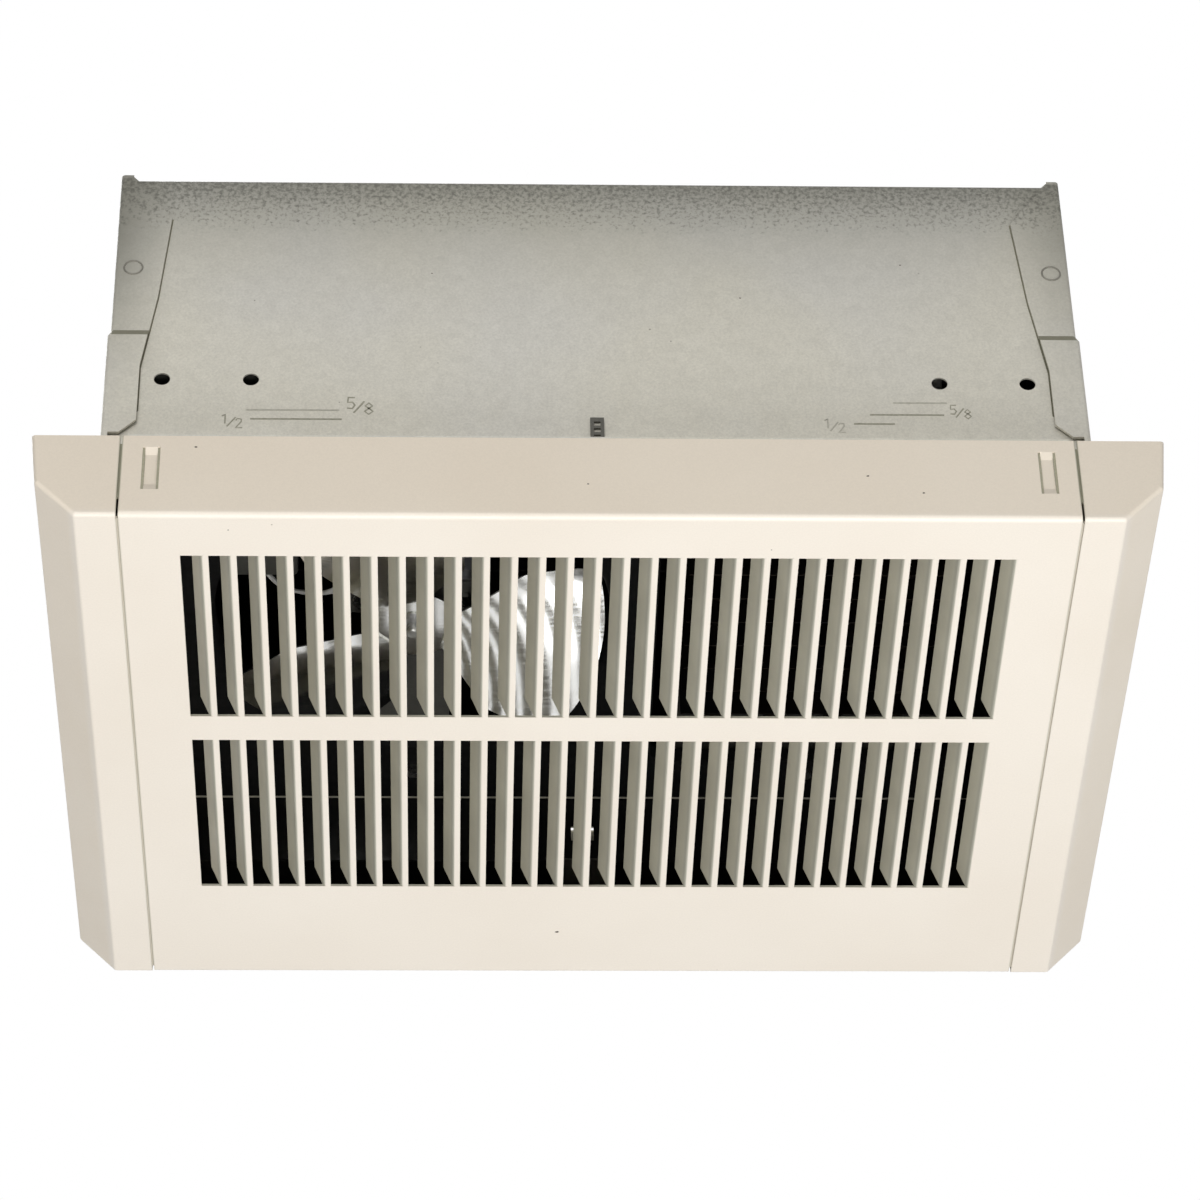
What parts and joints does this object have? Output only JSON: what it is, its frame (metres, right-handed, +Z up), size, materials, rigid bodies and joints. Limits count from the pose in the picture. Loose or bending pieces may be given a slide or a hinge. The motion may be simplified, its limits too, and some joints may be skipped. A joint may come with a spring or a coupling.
{
  "type": "ceiling heater",
  "caption": "Recessed fan-forced electric ceiling heater: galvanised box with deck, motor, fan and finned element, and a cream louvred grille hung below on ladder straps.",
  "frame": {"origin": "middle of the grille's underside, the lowest face", "axes": "+Z up into the ceiling, +X along the length towards the hot air side, -Y towards the near louvre row"},
  "size_m": [0.4, 0.272, 0.1895],
  "materials": {
    "cream_paint": "satin powder coat",
    "galvanised": "spangled zinc coating",
    "black_paint": "matt black",
    "aluminium": "polished",
    "zinc_steel": "bright zinc plate",
    "lamination": "oiled steel sheet",
    "die_cast": "as cast",
    "bronze": "sintered bronze",
    "copper": "bare copper",
    "coil_tape": "varnished tape",
    "bobbin_plastic": "moulded nylon",
    "element_steel": "heat-darkened steel",
    "ceramic": "glazed ceramic",
    "phenolic": "moulded phenolic",
    "white_lead": "extruded insulation",
    "black_lead": "extruded insulation",
    "green_paint": "green screw finish"
  },
  "bodies": {
    "box": {"box_wrap": "galvanised", "side_panel_left": "galvanised", "side_panel_right": "galvanised", "heater_deck": "black_paint", "deck_ledge_left": "galvanised", "deck_ledge_right": "galvanised", "deck_screws": "zinc_steel", "motor_bridge": "galvanised", "bridge_screws": "zinc_steel", "bearing_bridge_lower": "die_cast", "bearing_bridge_upper": "die_cast", "shaft_bushes": "bronze", "shading_rings": "copper", "stator_stack": "lamination", "coil_bobbin": "bobbin_plastic", "stator_coil": "coil_tape", "motor_screws": "zinc_steel", "motor_nuts": "zinc_steel", "heating_element": "element_steel", "element_fins": "element_steel", "element_terminals": "ceramic", "element_bracket_front": "galvanised", "element_bracket_rear": "galvanised", "element_screws": "zinc_steel", "thermal_cutout": "phenolic", "cutout_screws": "zinc_steel", "wiring_cover": "galvanised", "cover_screws": "zinc_steel", "lead_bushings": "phenolic", "ground_screw": "green_paint", "motor_leads": "white_lead", "element_leads": "black_lead"},
    "grille": {"grille_panel": "cream_paint", "end_cap_left": "cream_paint", "end_cap_right": "cream_paint", "hanger_strap_front": "zinc_steel", "hanger_strap_rear": "zinc_steel"},
    "fan": {"fan_blade": "aluminium", "fan_hub": "die_cast", "motor_shaft": "zinc_steel", "rotor": "lamination"}
  },
  "joints": [
    {"name": "fan_spin", "type": "hinge", "parent": "box", "child": "fan", "pos_m": [-0.067, 0, 0.065], "axis": [0, 0, 1], "continuous": true},
    {"name": "grille_drop", "type": "slide", "parent": "box", "child": "grille", "axis": [0, 0, -1], "range_m": [0, 0.0192]}
  ]
}
